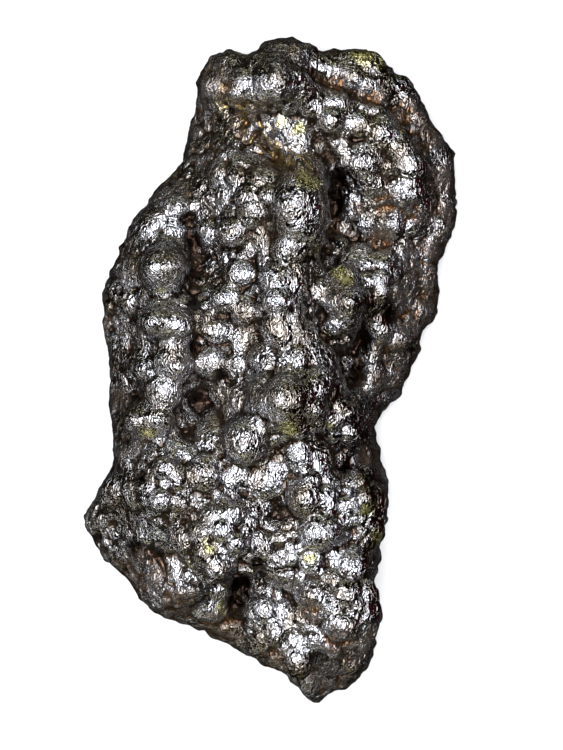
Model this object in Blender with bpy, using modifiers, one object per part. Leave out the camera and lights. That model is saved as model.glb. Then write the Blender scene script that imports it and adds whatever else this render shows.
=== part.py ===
"""Botryoidal hematite: one piece of kidney ore, lying on its cut back with its domed face up.

Metres, +Z up. X runs to the right of the domed face and Y along its length, towards the crown.
The stone is drawn in millimetres about its middle. A slab is cut to the outline, its thickness is
set by spot heights, and then kidneys, domes and knobs are seated on it, largest first. Last, a
voxel remesh fuses all of it in one skin, which is thinned and sawn flat underneath.
"""

import math
from collections import namedtuple

import bmesh
import bpy
from mathutils import Matrix, Vector, noise
from mathutils.bvhtree import BVHTree

# Driving dimensions
SPECIMEN_LENGTH = 0.133
DRAWN_LENGTH = 133.0
MM = SPECIMEN_LENGTH / DRAWN_LENGTH
SLAB_THICKNESS = 20 * MM
SHOULDER_RADIUS = 6 * MM
SAW_ALLOWANCE = 3 * MM
CORE_VOXEL = 1.3 * MM
SKIN_VOXEL = 0.65 * MM
TRIANGLE_BUDGET = 9700

# The wall: how far it is drawn in at the saw cut, where it is widest, and its ledges
BASE_TAPER = 0.085
WIDEST_AT = 0.42
LEDGE_PITCH = 3.4 * MM
LEDGE_DEPTH = 0.55 * MM
WALL_ROUGHNESS = 0.9 * MM

# A dome shows the top 40 % of an ellipsoid, so it meets its neighbours at about 45 degrees
SHOWN_SHARE = 0.4
USUAL_RISE = 0.62
LEAN = 0.75

# A kidney is lower and broader than its drawn circle, because the domes on it hide its edge
KIDNEY_HEIGHT = 0.62
KIDNEY_SPREAD = 1.12

Dome = namedtuple("Dome", "x y across along turn rise")


def dome(x, y, across, along=None, turn=0, rise=None):
    """A dome at x, y with its half width, half length, turn of its length from Y in degrees and rise, in mm."""
    along = along or across
    return Dome(x, y, across, along, turn, rise or USUAL_RISE * min(across, along))


# The stone's outline seen from above, clockwise from the notch in the crown
OUTLINE = (
    (-5.6, 63.2), (-4.2, 63.8), (-2.2, 64.6), (0.2, 66.0), (3.2, 66.6), (6.4, 65.8), (8.8, 64.4),
    (11.2, 63.6), (15.2, 64.2), (19.8, 64.0), (22.4, 62.4), (24.2, 60.0), (26.6, 59.0), (29.0, 56.8),
    (30.2, 54.0), (32.2, 50.4), (34.4, 47.2), (36.4, 45.0), (37.0, 41.0), (37.2, 36.6), (37.8, 32.2),
    (37.0, 28.4), (35.2, 24.8), (34.0, 21.6), (34.0, 17.4), (34.0, 13.6), (33.0, 10.4), (30.4, 8.4),
    (29.8, 4.6), (28.6, 1.2), (27.4, -2.2), (25.4, -5.0), (23.0, -7.2), (21.6, -10.2), (20.6, -12.8),
    (22.0, -15.4), (22.8, -19.4), (23.8, -23.4), (24.4, -26.0), (23.2, -29.0), (23.0, -32.0),
    (21.8, -36.0), (21.4, -39.6), (21.2, -43.2), (20.4, -46.6), (20.8, -50.4), (21.0, -54.2),
    (20.0, -58.0), (18.6, -61.2), (15.6, -63.6), (12.8, -64.6), (10.8, -66.6), (8.0, -66.8),
    (5.8, -64.2), (3.0, -61.0), (-0.4, -59.8), (-4.8, -57.0), (-8.4, -55.6), (-12.4, -52.8),
    (-16.2, -51.6), (-20.4, -49.4), (-24.2, -47.8), (-26.8, -44.8), (-29.4, -41.4), (-32.4, -38.8),
    (-35.0, -36.0), (-36.8, -32.0), (-37.8, -29.4), (-36.4, -27.2), (-34.6, -23.4), (-31.8, -20.4),
    (-31.2, -17.0), (-31.6, -12.0), (-32.4, -8.0), (-32.4, -3.0), (-32.4, 3.0), (-33.2, 8.6),
    (-33.6, 14.0), (-32.6, 19.0), (-30.6, 22.8), (-29.0, 26.6), (-27.0, 31.2), (-24.0, 34.0),
    (-22.2, 37.2), (-19.6, 39.4), (-17.6, 42.0), (-17.0, 46.4), (-15.8, 50.4), (-14.6, 54.0),
    (-14.8, 57.0), (-13.4, 61.0), (-10.4, 63.4), (-7.6, 63.8),
)

# Spot heights of the bed that carries the domes: x, y, height above the saw cut
SPOT_HEIGHTS = (
    # crown and its groove
    (-13, 57, 16), (-9, 58, 19), (-1.6, 56, 27), (3, 63, 22), (12, 62, 21), (16, 57, 20),
    (20, 61, 20), (26, 57, 19), (29, 51, 18), (-15, 49, 14), (-4, 46, 21),
    # basin in the upper right, with its hollow
    (4, 46, 22), (12, 50, 25), (20, 48, 23), (27, 42, 23), (34, 44, 15), (35, 34, 14), (16, 41, 23),
    (9, 42, 20), (11.6, 33, 13), (15, 27, 15), (21, 33, 20), (27, 34, 20), (23, 26, 18),
    (31, 24, 14), (17, 21, 18), (20.4, 16, 20), (32, 14, 11), (27, 12, 14), (16, 5, 13),
    (21.6, 7, 17), (27, 1, 12), (19, -1, 14), (23, -6, 10),
    # back of the stone, from the shoulder below the crown to the waist
    (-8, 40, 25), (-15, 40, 17), (-1.6, 34, 29), (6, 32, 30), (-7, 27, 26), (4, 22, 29),
    (-6, 18, 25), (2, 14, 30), (13, 14, 24), (6, 4, 30), (-10, 6, 24), (-6, -2, 25), (4, -5, 31),
    (12, -6, 26), (-5, -14, 29), (6, -14, 28), (16, -14, 20), (21, -16, 12),
    # valley and ridge on the left
    (-14, 31, 20), (-14, 22, 18), (-14, -6, 19), (-21, 20, 26), (-28, 20, 17), (-19, 8, 27),
    (-29, 8, 15), (-20, -2, 26), (-29, -6, 14), (-24.4, -9, 24), (-22, 30, 20),
    # foot
    (-20, -22, 27), (-29, -23, 20), (-34, -27, 13), (-12, -22, 27), (-1, -24, 26), (8, -24, 29),
    (17, -26, 26), (22.6, -26, 12), (-26, -35, 20), (-18, -30, 23), (-9, -32, 28), (0, -29, 23),
    (10, -32, 28), (4, -38, 27), (16, -38, 23), (20.4, -46, 13), (14, -46, 27), (-5, -44, 12),
    (-20, -42, 17), (-11, -47, 12), (1, -50, 24), (10, -55, 21), (17, -57, 14), (4, -60, 13),
    (11, -63, 11), (-7, -53, 8), (-32, -34, 10), (-28, -39, 10),
)

# Kidneys: the large swellings, each of which carries several domes
KIDNEYS = (
    dome(-8.6, 57.4, 4.2, 4.8, rise=2.6),
    dome(0.2, 56.2, 6.2, 4.6, rise=3.4),
    dome(3.2, 62.8, 5.0, 2.6, rise=2.0),
    dome(4.2, 46.0, 4.4, 4.8, rise=2.4),
    dome(6.2, 31.8, 5.0, 7.6, rise=4.2),
    dome(14.2, 12.4, 3.9, 5.8, rise=3.4),
    dome(20.6, 16.6, 4.0, 4.8, rise=2.4),
    dome(3.4, -5.6, 6.0, 6.0, rise=3.4),
    dome(10.2, -2.8, 3.1, 5.0, rise=3.0),
    dome(-19.2, 9.8, 5.2, 3.4, rise=2.2),
    dome(-20.0, -22.0, 5.0, 6.6, rise=3.2),
    dome(-9.2, -32.6, 6.6, 7.4, rise=3.4),
    dome(-17.6, -42.8, 4.2, 3.6, rise=2.4),
    dome(17.6, -28.6, 4.3, 6.2, rise=3.0),
    dome(3.4, -35.4, 4.0, 5.4, rise=2.6),
    dome(13.6, -46.0, 6.2, 7.2, 12, rise=2.6),
    dome(1.4, -50.0, 4.6, 7.6, 28, rise=2.2),
)

# Domes, by the part of the face that they are on
CROWN_DOMES = (
    dome(-8.4, 60.0, 3.0), dome(-11.6, 56.2, 2.5), dome(-6.2, 56.2, 2.4, 3.2), dome(-2.4, 53.6, 2.2, 1.9),
    dome(1.2, 56.8, 4.3, 4.5), dome(6.4, 57.0, 1.8, 2.6), dome(8.0, 53.2, 2.6, 3.2), dome(13.0, 53.8, 2.6, 2.2),
    dome(7.2, 50.4, 1.4), dome(3.2, 63.2, 4.4, 2.2), dome(-2.0, 61.4, 2.6, 1.9), dome(6.0, 62.2, 2.4, 1.8),
    dome(10.4, 60.8, 2.4, 2.0), dome(13.2, 59.4, 2.2, 2.0), dome(16.2, 58.2, 2.2), dome(19.2, 56.8, 2.0, 1.8),
    dome(22.2, 55.0, 2.0, 1.7), dome(12.4, 63.0, 2.4, 1.4), dome(16.0, 62.2, 2.6, 2.0), dome(20.2, 61.6, 3.0, 2.4),
    dome(21.8, 58.6, 1.6, 1.8), dome(25.2, 57.4, 2.8, 2.0, 20), dome(28.0, 54.4, 2.0, 2.4, 20),
)
BASIN_DOMES = (
    dome(1.6, 45.6, 1.8), dome(6.6, 45.2, 1.8, 2.8), dome(2.6, 48.4, 2.0, 1.5), dome(5.9, 47.9, 1.5),
    dome(12.0, 49.0, 2.6), dome(17.4, 48.6, 2.2), dome(15.0, 51.4, 2.4, 1.4), dome(20.0, 52.0, 2.6, 1.4),
    dome(22.2, 47.2, 2.8, 3.6, -25), dome(26.2, 44.4, 3.4, 3.2), dome(27.8, 40.0, 3.4, 2.8, rise=1.7),
    dome(18.4, 41.0, 3.4, rise=1.9), dome(13.2, 41.4, 2.2, 4.0, -20), dome(9.0, 42.0, 2.0, 3.0, -20),
    dome(20.2, 36.6, 2.8, 2.4), dome(15.6, 32.4, 2.2, 2.4), dome(26.8, 35.4, 4.0, 2.8), dome(23.6, 29.0, 2.8, 3.0),
    dome(28.6, 28.6, 1.8, 2.0), dome(19.0, 29.0, 1.8, 2.0), dome(13.2, 25.4, 2.2, 2.0), dome(17.2, 22.6, 3.2, 3.0),
    dome(22.8, 22.4, 2.4, 2.2), dome(27.0, 24.2, 1.8, 2.0), dome(26.4, 21.0, 1.6), dome(21.8, 7.8, 2.6, 2.8),
    dome(20.0, 3.4, 2.4, 2.6), dome(26.4, 6.0, 2.6, 2.4), dome(27.0, 2.0, 1.8, 2.0), dome(24.8, -1.8, 2.4, 2.0),
    dome(20.2, -1.6, 3.4, 3.0), dome(22.8, -5.6, 2.0, 1.6), dome(19.6, -9.0, 1.6, 3.0), dome(26.0, 9.0, 2.0, 1.3),
    dome(25.2, 13.0, 1.1, 4.0, rise=0.8), dome(27.8, 16.2, 1.6, 3.6, rise=0.9),
)
CENTRE_DOMES = (
    dome(5.4, 33.8, 4.5, 4.5), dome(9.6, 32.0, 1.6, 3.4), dome(5.2, 28.6, 3.6, 3.4), dome(1.8, 30.6, 1.5, 2.4),
    dome(6.4, 38.2, 2.2, 1.6), dome(8.8, 35.9, 1.5), dome(3.8, 23.6, 3.4, 2.6), dome(-1.6, 38.6, 2.8, 2.4),
    dome(-0.6, 34.8, 1.8, 2.1), dome(-3.6, 36.6, 1.5), dome(-5.2, 34.2, 2.2), dome(-4.0, 30.6, 2.4, 2.8),
    dome(-7.8, 27.2, 3.0, 2.6), dome(-1.8, 25.8, 1.6, 3.0), dome(-12.8, 27.2, 2.0, 2.8), dome(-9.6, 34.4, 1.5, 2.4),
    dome(-12.4, 33.8, 1.7), dome(-7.0, 38.4, 1.8, 2.3), dome(-11.0, 39.2, 2.2, 2.5), dome(-14.0, 37.0, 1.8, 2.4),
    dome(-6.4, 19.2, 2.8, 2.4), dome(1.0, 18.4, 3.4, 2.6), dome(5.6, 17.6, 2.2, 3.0), dome(-8.8, 14.4, 2.8, 2.6),
    dome(-5.6, 11.8, 2.2, 2.8), dome(1.4, 13.8, 3.0, 2.6), dome(4.4, 12.4, 1.6), dome(1.2, 8.0, 3.0, 3.2),
    dome(5.4, 8.8, 2.2, 2.8), dome(8.0, 7.2, 2.0, 2.8), dome(-10.2, 7.8, 2.6, 2.1), dome(-6.0, 6.0, 1.7, 2.4),
    dome(-1.8, 2.8, 2.7, 2.5), dome(2.6, 2.8, 1.5, 2.0), dome(-11.4, 1.4, 2.7, 2.9), dome(-6.6, 1.6, 1.6, 2.0),
    dome(5.8, 3.0, 1.8, 2.0), dome(10.2, 3.2, 3.0, 3.2), dome(14.2, 19.4, 3.3, 2.5, 35), dome(10.4, 15.6, 1.7, 2.6),
    dome(3.0, -5.2, 4.4, 4.6), dome(-1.4, -5.8, 1.9, 3.0), dome(7.4, -4.0, 1.6, 2.6), dome(3.2, -9.6, 3.2, 1.9),
    dome(10.2, -1.6, 2.6, 3.2), dome(8.8, -7.4, 2.4, 1.9), dome(-5.0, -13.6, 4.1, 4.5, rise=2.5),
    dome(-12.4, -11.4, 2.3, 4.4), dome(-12.8, -19.8, 3.1, 3.5), dome(-7.4, -21.0, 1.8, 2.4),
    dome(-4.8, -21.4, 1.5, 2.4), dome(-6.8, -5.4, 1.7, 2.4), dome(-10.6, -4.8, 1.7), dome(-3.0, -3.4, 1.5),
    dome(5.8, -12.0, 2.0, 1.8), dome(9.6, -11.0, 1.8, 1.5), dome(-1.0, -22.2, 3.2, 2.8), dome(1.6, -19.6, 2.0, 1.8),
    dome(-1.6, -26.8, 2.2, 1.8), dome(5.8, -17.0, 2.6, 3.0), dome(10.4, -17.0, 2.4, 3.0), dome(7.8, -20.8, 2.0, 1.8),
    dome(6.2, -25.0, 3.4, 3.6), dome(11.8, -25.0, 1.7, 3.0), dome(15.4, -7.4, 2.4, 2.6), dome(12.8, -9.8, 1.7, 2.2),
    dome(17.4, -8.2, 1.5, 2.4), dome(13.0, -12.8, 1.5), dome(16.4, -12.8, 2.3, 2.1), dome(15.4, -3.2, 1.3, 2.4),
    dome(16.8, -20.8, 2.4, 1.9),
)
RIDGE_DOMES = (
    dome(-20.6, 19.8, 4.0, 4.8, rise=2.5), dome(-19.6, 25.0, 2.4, 1.5), dome(-23.6, 29.4, 2.1, 3.4, -45),
    dome(-19.4, 28.6, 1.7), dome(-19.0, 32.8, 2.8, 2.4), dome(-28.4, 19.8, 2.4, 3.0, rise=0.7),
    dome(-21.2, 9.6, 3.2, 3.0), dome(-16.8, 9.8, 2.5, 2.7), dome(-15.8, 13.8, 2.1, 1.9),
    dome(-18.8, 2.2, 3.7, 4.3, rise=2.5), dome(-21.0, -4.4, 3.6, 3.0, rise=2.0), dome(-24.2, -9.4, 5.0, 3.9, rise=2.7),
    dome(-26.0, 0.6, 1.7, 2.8), dome(-28.6, 13.6, 1.9, 2.5), dome(-25.2, 14.4, 1.4, 2.0),
    dome(-29.2, 7.0, 1.3, 5.2, rise=0.8), dome(-29.2, -4.4, 1.2, 3.8, rise=0.8), dome(-25.0, 6.6, 2.4, 3.4),
    dome(-25.8, -14.4, 2.5, 1.4), dome(-29.0, -16.2, 1.7), dome(-16.2, -15.2, 2.6, 1.7, -60),
)
FOOT_DOMES = (
    dome(-20.4, -18.6, 2.5, 2.1), dome(-17.6, -20.6, 1.9, 2.4), dome(-21.4, -25.4, 2.1), dome(-17.4, -25.8, 1.9),
    dome(-28.0, -23.2, 1.9, 4.0), dome(-32.2, -24.4, 2.4, 3.5, -20), dome(-14.0, -25.0, 1.8, 1.6),
    dome(-25.4, -32.2, 1.9, 3.2), dome(-22.6, -31.4, 1.8, 2.5), dome(-18.2, -33.0, 2.5, 2.8),
    dome(-11.4, -27.8, 2.3, 1.9), dome(-6.8, -27.2, 2.5, 2.1), dome(-13.8, -31.4, 2.2), dome(-9.2, -30.8, 2.1),
    dome(-5.9, -34.2, 2.1, 2.4), dome(-13.0, -36.0, 2.4), dome(-10.4, -39.0, 2.3), dome(-7.2, -38.0, 1.7),
    dome(-23.8, -40.6, 2.1, 2.6), dome(-16.8, -43.8, 1.9, 1.6), dome(-9.6, -43.8, 2.3, 2.8), dome(-11.2, -48.2, 4.0, 2.5),
    dome(15.2, -26.6, 1.9, 2.1), dome(18.4, -25.0, 2.1, 2.6), dome(10.0, -31.4, 4.0, 3.6, rise=2.0),
    dome(-1.4, -34.0, 1.6, 2.8), dome(8.4, -37.6, 2.2), dome(16.4, -37.2, 3.0, 2.8), dome(12.8, -36.8, 1.6),
    dome(11.8, -40.2, 2.0, 1.8), dome(15.0, -43.0, 2.6, 2.4), dome(8.0, -43.6, 2.4, 2.8), dome(12.2, -45.4, 2.0),
    dome(16.8, -46.0, 1.8, 2.0), dome(14.0, -50.4, 3.4, 3.0), dome(-1.4, -46.6, 2.0, 2.6), dome(1.0, -51.2, 1.8, 2.7),
    dome(3.2, -46.8, 1.7, 2.6, 20), dome(5.8, -47.8, 1.6, 2.0), dome(8.8, -54.0, 2.8, 2.2), dome(12.0, -55.6, 1.8),
    dome(12.0, -59.4, 1.8, 2.2), dome(6.0, -58.0, 2.4, 3.2, 25), dome(7.6, -63.2, 2.2, 2.6),
    dome(-4.6, -48.4, 1.5, 2.0), dome(-3.0, -54.0, 3.2, 1.5, 60), dome(-8.0, -52.8, 2.8, 1.5),
)
RIM_DOMES = (
    dome(29.8, 50.2, 2.2, 2.5, 25), dome(32.6, 46.2, 2.3, 2.5, 25), dome(34.8, 42.4, 1.9, 2.4), dome(35.0, 38.0, 2.0, 3.0),
    dome(35.6, 32.8, 1.8, 2.8), dome(34.0, 28.2, 2.4, 2.8, -20), dome(31.8, 24.0, 2.3), dome(32.0, 18.0, 2.0, 3.2),
    dome(31.0, 12.6, 2.4, 2.2), dome(28.4, 9.8, 1.6), dome(31.6, 33.6, 1.4, 4.4, rise=0.8),
    dome(19.4, -16.8, 1.6, 3.6), dome(22.6, -25.4, 1.6, 2.9), dome(19.8, -42.8, 1.5, 2.5),
    dome(19.2, -48.4, 1.5, 2.9), dome(18.8, -54.0, 1.5, 2.9), dome(16.8, -58.2, 2.0, 2.4),
)
# Narrow crests of crust along broken edges, and single knobs
KNOBS = (
    dome(3.8, 43.8, 1.6, 1.8, rise=0.9), dome(19.2, 32.4, 1.0, 2.7, -70, rise=0.8), dome(24.2, 33.2, 1.0, 2.9, 80, rise=0.8),
    dome(29.4, 31.4, 1.1, 2.8, -45, rise=0.8), dome(-7.0, 41.4, 0.9, 3.4, 25, rise=0.7), dome(-1.4, 41.4, 0.9, 3.6, 62, rise=0.7),
    dome(19.0, 18.0, 1.7), dome(21.8, 18.4, 1.8), dome(19.4, 14.4, 1.7), dome(22.2, 15.0, 1.8),
    dome(14.2, 13.6, 3.7, 4.6), dome(13.0, 8.4, 2.2, 2.2),
)


def clear_scene():
    for thing in list(bpy.data.objects):
        bpy.data.objects.remove(thing, do_unlink=True)


def collection(name):
    made = bpy.data.collections.new(name)
    bpy.context.scene.collection.children.link(made)
    return made


def evaluated_mesh(thing):
    """The object's mesh with its modifiers applied, as new mesh data."""
    graph = bpy.context.evaluated_depsgraph_get()
    return bpy.data.meshes.new_from_object(thing.evaluated_get(graph))


def spot_height(x, y):
    """Height of the bed at x, y, each spot counting less with the fourth power of its distance."""
    softening = (4 * MM) ** 2
    total = 0.0
    weight = 0.0
    for spot_x, spot_y, height in SPOT_HEIGHTS:
        near = 1 / ((x - spot_x * MM) ** 2 + (y - spot_y * MM) ** 2 + softening) ** 2
        total += near * height * MM
        weight += near
    return total / weight


def outline_slab(where):
    """A flat slab of the outline with rounded edges, as a mesh with points all over its faces."""
    curve = bpy.data.curves.new("outline", "CURVE")
    curve.dimensions = "2D"
    curve.fill_mode = "BOTH"
    curve.resolution_u = 3
    curve.bevel_depth = SHOULDER_RADIUS
    curve.bevel_resolution = 3
    curve.offset = -SHOULDER_RADIUS
    curve.extrude = SLAB_THICKNESS / 2 - SHOULDER_RADIUS
    spline = curve.splines.new("BEZIER")
    spline.bezier_points.add(len(OUTLINE) - 1)
    for point, (x, y) in zip(spline.bezier_points, OUTLINE):
        point.co = (x * MM, y * MM, 0)
        point.handle_left_type = "AUTO"
        point.handle_right_type = "AUTO"
    spline.use_cyclic_u = True
    slab = bpy.data.objects.new("slab", curve)
    where.objects.link(slab)
    mesh = evaluated_mesh(slab)
    bpy.data.objects.remove(slab)
    shape = bmesh.new()
    shape.from_mesh(mesh)
    bmesh.ops.remove_doubles(shape, verts=shape.verts, dist=0.01 * MM)
    shape.to_mesh(mesh)
    shape.free()
    solid = bpy.data.objects.new("core", mesh)
    where.objects.link(solid)
    remesh = solid.modifiers.new("even skin", "REMESH")
    remesh.mode = "VOXEL"
    remesh.voxel_size = CORE_VOXEL
    even = evaluated_mesh(solid)
    bpy.data.objects.remove(solid)
    return even


def wall_offset(x, y, z, share):
    """How far a point of the wall stands out: ledges one above another, broken up by noise."""
    wander = noise.noise(Vector((x, y, 0)) / (14 * MM)) * LEDGE_PITCH
    ledge = math.sin((z + wander) / LEDGE_PITCH * math.tau) * LEDGE_DEPTH
    rough = noise.noise(Vector((x, y, 2.2 * z)) / (5 * MM)) * WALL_ROUGHNESS
    return (ledge + rough) * min(1, max(0, 1.6 - 1.6 * share))


def shaped_core(where):
    """The slab with the spot heights as its thickness, walls that draw in below, and ledges on them."""
    mesh = outline_slab(where)
    shape = bmesh.new()
    shape.from_mesh(mesh)
    shape.normal_update()
    sideways = [Vector((v.normal.x, v.normal.y, 0)) for v in shape.verts]
    for vert, outward in zip(shape.verts, sideways):
        share = min(1, max(0, vert.co.z / SLAB_THICKNESS + 0.5))
        height = spot_height(vert.co.x, vert.co.y)
        drawn_in = BASE_TAPER * max(0, 1 - share / WIDEST_AT) ** 2
        z = share * (height + SAW_ALLOWANCE) - SAW_ALLOWANCE
        vert.co = Vector((vert.co.x * (1 - drawn_in), vert.co.y * (1 - drawn_in), z))
        vert.co += outward * wall_offset(vert.co.x, vert.co.y, z, share)
    shape.to_mesh(mesh)
    mesh.update()
    return shape, mesh


def seat_domes(shape, domes):
    """Adds each dome as an ellipsoid on what is under it, sunk so that only its top share shows."""
    tree = BVHTree.FromBMesh(shape)
    for one in domes:
        above = Vector((one.x * MM, one.y * MM, SPECIMEN_LENGTH))
        ground, normal, _, _ = tree.ray_cast(above, Vector((0, 0, -1)))
        if ground is None:
            raise ValueError(f"no stone under the dome at {one.x}, {one.y}")
        up = Vector((0, 0, 1)).lerp(normal, LEAN).normalized()
        depth = one.rise / SHOWN_SHARE
        widen = 1 / math.sqrt(1 - (1 - SHOWN_SHARE) ** 2)
        middle = ground - up * (depth - one.rise) * MM
        place = (
            Matrix.Translation(middle)
            @ up.to_track_quat("Z", "Y").to_matrix().to_4x4()
            @ Matrix.Rotation(math.radians(one.turn) - heading(up), 4, "Z")
            @ Matrix.Diagonal((one.across * widen * MM, one.along * widen * MM, depth * MM, 1))
        )
        fineness = 3 if one.across > 3.5 else 2
        bmesh.ops.create_icosphere(shape, subdivisions=fineness, radius=1, matrix=place)


def heading(up):
    """Angle by which the track rotation for this upward direction has turned Y away from the stone's length."""
    y_axis = up.to_track_quat("Z", "Y") @ Vector((0, 1, 0))
    return math.atan2(-y_axis.x, y_axis.y)


def fused(shape, where):
    """All the shapes in one closed skin, thinned to the triangle budget."""
    mesh = bpy.data.meshes.new("hematite")
    shape.to_mesh(mesh)
    shape.free()
    stone = bpy.data.objects.new("rough", mesh)
    where.objects.link(stone)
    remesh = stone.modifiers.new("one skin", "REMESH")
    remesh.mode = "VOXEL"
    remesh.voxel_size = SKIN_VOXEL
    thin = stone.modifiers.new("thin", "DECIMATE")
    thin.ratio = 1.0
    thin.use_collapse_triangulate = True
    dense = evaluated_mesh(stone)
    dense.calc_loop_triangles()
    thin.ratio = TRIANGLE_BUDGET / len(dense.loop_triangles)
    bpy.data.meshes.remove(dense)
    skin = evaluated_mesh(stone)
    bpy.data.objects.remove(stone)
    return skin


def sawn_flat(mesh):
    """Cuts the stone off at the height of its rest, closes the cut and moves its middle to the origin."""
    shape = bmesh.new()
    shape.from_mesh(mesh)
    everything = shape.verts[:] + shape.edges[:] + shape.faces[:]
    cut = bmesh.ops.bisect_plane(
        shape, geom=everything, dist=1e-7, plane_co=(0, 0, 0), plane_no=(0, 0, 1), clear_inner=True
    )
    loops = [piece for piece in cut["geom_cut"] if isinstance(piece, bmesh.types.BMEdge)]
    bmesh.ops.contextual_create(shape, geom=loops)
    bmesh.ops.triangulate(shape, faces=[face for face in shape.faces if len(face.verts) > 3])
    middle = Vector(
        [(max(v.co[i] for v in shape.verts) + min(v.co[i] for v in shape.verts)) / 2 for i in (0, 1)] + [0]
    )
    print("middle of the drawing, mm:", [round(value / MM, 3) for value in middle])
    bmesh.ops.translate(shape, verts=shape.verts, vec=-middle)
    shape.to_mesh(mesh)
    shape.free()
    return mesh


def hematite_material():
    material = bpy.data.materials.new("hematite")
    material.use_nodes = True
    shader = material.node_tree.nodes["Principled BSDF"]
    shader.inputs["Base Color"].default_value = (0.10, 0.085, 0.075, 1)
    shader.inputs["Metallic"].default_value = 0.9
    shader.inputs["Roughness"].default_value = 0.3
    return material


def main():
    clear_scene()
    specimen = collection("botryoidal_hematite")
    shape, _ = shaped_core(specimen)
    kidneys = [
        one._replace(
            across=one.across * KIDNEY_SPREAD,
            along=one.along * KIDNEY_SPREAD,
            rise=one.rise * KIDNEY_HEIGHT,
        )
        for one in KIDNEYS
    ]
    seat_domes(shape, kidneys)
    seat_domes(shape, CROWN_DOMES + BASIN_DOMES + CENTRE_DOMES + RIDGE_DOMES + FOOT_DOMES + RIM_DOMES)
    seat_domes(shape, KNOBS)
    mesh = sawn_flat(fused(shape, specimen))
    mesh.materials.clear()
    mesh.materials.append(hematite_material())
    stone = bpy.data.objects.new("hematite", mesh)
    specimen.objects.link(stone)
    mesh.shade_smooth()
    mesh.set_sharp_from_angle(angle=math.radians(50))


main()
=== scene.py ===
# %% [markdown]
# # Botryoidal hematite
#
# Kidney ore is iron oxide that grew outwards in rounded masses: large kidneys, smaller domes on
# them, and a skin of very fine wrinkles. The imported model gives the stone's main forms. This lesson
# gives it the crisp domes, the ragged walls, the wrinkled metallic skin, the light and the camera.

import math

import bmesh
import bpy
import numpy as np
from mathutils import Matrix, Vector, noise
from mathutils.bvhtree import BVHTree
from mathutils.kdtree import KDTree


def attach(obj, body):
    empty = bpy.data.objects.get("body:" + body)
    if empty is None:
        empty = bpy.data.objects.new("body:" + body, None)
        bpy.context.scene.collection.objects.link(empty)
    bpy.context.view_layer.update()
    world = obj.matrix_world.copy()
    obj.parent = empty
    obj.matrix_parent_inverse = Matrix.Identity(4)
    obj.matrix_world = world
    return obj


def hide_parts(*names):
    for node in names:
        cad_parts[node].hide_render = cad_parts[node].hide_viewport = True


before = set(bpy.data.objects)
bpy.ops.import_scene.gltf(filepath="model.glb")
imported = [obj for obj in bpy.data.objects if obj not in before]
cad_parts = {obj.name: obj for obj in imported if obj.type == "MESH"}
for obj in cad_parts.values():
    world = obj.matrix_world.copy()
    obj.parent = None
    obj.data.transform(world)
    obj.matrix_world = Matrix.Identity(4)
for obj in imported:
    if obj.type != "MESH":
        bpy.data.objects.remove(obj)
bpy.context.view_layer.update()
scene = bpy.context.scene
MM = 0.001

# %% [markdown]
# ## An even skin to work on
#
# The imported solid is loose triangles. Domes could be modelled one by one, but on a natural growth
# they run into each other, so it is easier to take a fine, even skin of the whole stone and to
# swell it. A copy is merged, remeshed in small voxels and smoothed a little, which takes the
# flat facets away and keeps the forms.

# %% Even skin
SKIN_VOXEL = 0.43 * MM
JOIN_WITHIN = 0.001 * MM


def merged_copy(name):
    """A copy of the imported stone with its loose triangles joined."""
    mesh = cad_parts["hematite"].data.copy()
    mesh.name = name
    shape = bmesh.new()
    shape.from_mesh(mesh)
    bmesh.ops.remove_doubles(shape, verts=shape.verts, dist=JOIN_WITHIN)
    shape.to_mesh(mesh)
    shape.free()
    piece = bpy.data.objects.new(name, mesh)
    scene.collection.objects.link(piece)
    return piece


def with_modifiers_applied(piece):
    """Replaces the piece's mesh by what its modifiers make of it."""
    graph = bpy.context.evaluated_depsgraph_get()
    made = bpy.data.meshes.new_from_object(piece.evaluated_get(graph))
    old = piece.data
    piece.modifiers.clear()
    piece.data = made
    bpy.data.meshes.remove(old)


stone = merged_copy("stone")
even = stone.modifiers.new("even skin", "REMESH")
even.mode = "VOXEL"
even.voxel_size = SKIN_VOXEL
even.use_smooth_shade = True
with_modifiers_applied(stone)
print("even skin:", len(stone.data.vertices), "points")

# %% [markdown]
# ## Reading and smoothing the skin
#
# The skin has many thousands of points, so they are read and moved as whole tables of numbers.
# Smoothing takes each point towards the mean of its neighbours, which is how a worn surface
# loses its edges.


# %% Helpers that read and smooth the skin
def points_of(mesh):
    values = np.empty(len(mesh.vertices) * 3)
    mesh.vertices.foreach_get("co", values)
    return values.reshape(-1, 3)


def put_points(mesh, values):
    mesh.vertices.foreach_set("co", values.astype(np.float32).ravel())
    mesh.update()


def normals_of(mesh):
    values = np.empty(len(mesh.vertices) * 3)
    mesh.vertex_normals.foreach_get("vector", values)
    return values.reshape(-1, 3)


def neighbours(mesh):
    """The two ends of every edge, and how many edges meet in each point."""
    ends = np.empty(len(mesh.edges) * 2, dtype=np.int64)
    mesh.edges.foreach_get("vertices", ends)
    ends = ends.reshape(-1, 2)
    counts = np.bincount(ends.ravel(), minlength=len(mesh.vertices)).astype(float)
    return ends, counts


def smoothed(values, links, rounds, amount=0.5):
    """Values spread over the skin by taking each point towards the mean of its neighbours."""
    ends, counts = links
    values = values.copy()
    columns = values.reshape(len(values), -1)
    for _ in range(rounds):
        for column in columns.T:
            total = np.bincount(ends[:, 0], weights=column[ends[:, 1]], minlength=len(column))
            total += np.bincount(ends[:, 1], weights=column[ends[:, 0]], minlength=len(column))
            column += amount * (total / counts - column)
    return columns.reshape(values.shape)


def broad_directions(mesh, links, rounds):
    """Outward directions of length 1, smoothed until they follow only the broad forms."""
    values = smoothed(normals_of(mesh), links, rounds)
    values /= np.linalg.norm(values, axis=1, keepdims=True)
    return values


def ramp(values, low, high):
    """0 below low, 1 above high and an even curve between them."""
    share = np.clip((values - low) / (high - low), 0, 1)
    return share * share * (3 - 2 * share)


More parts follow.
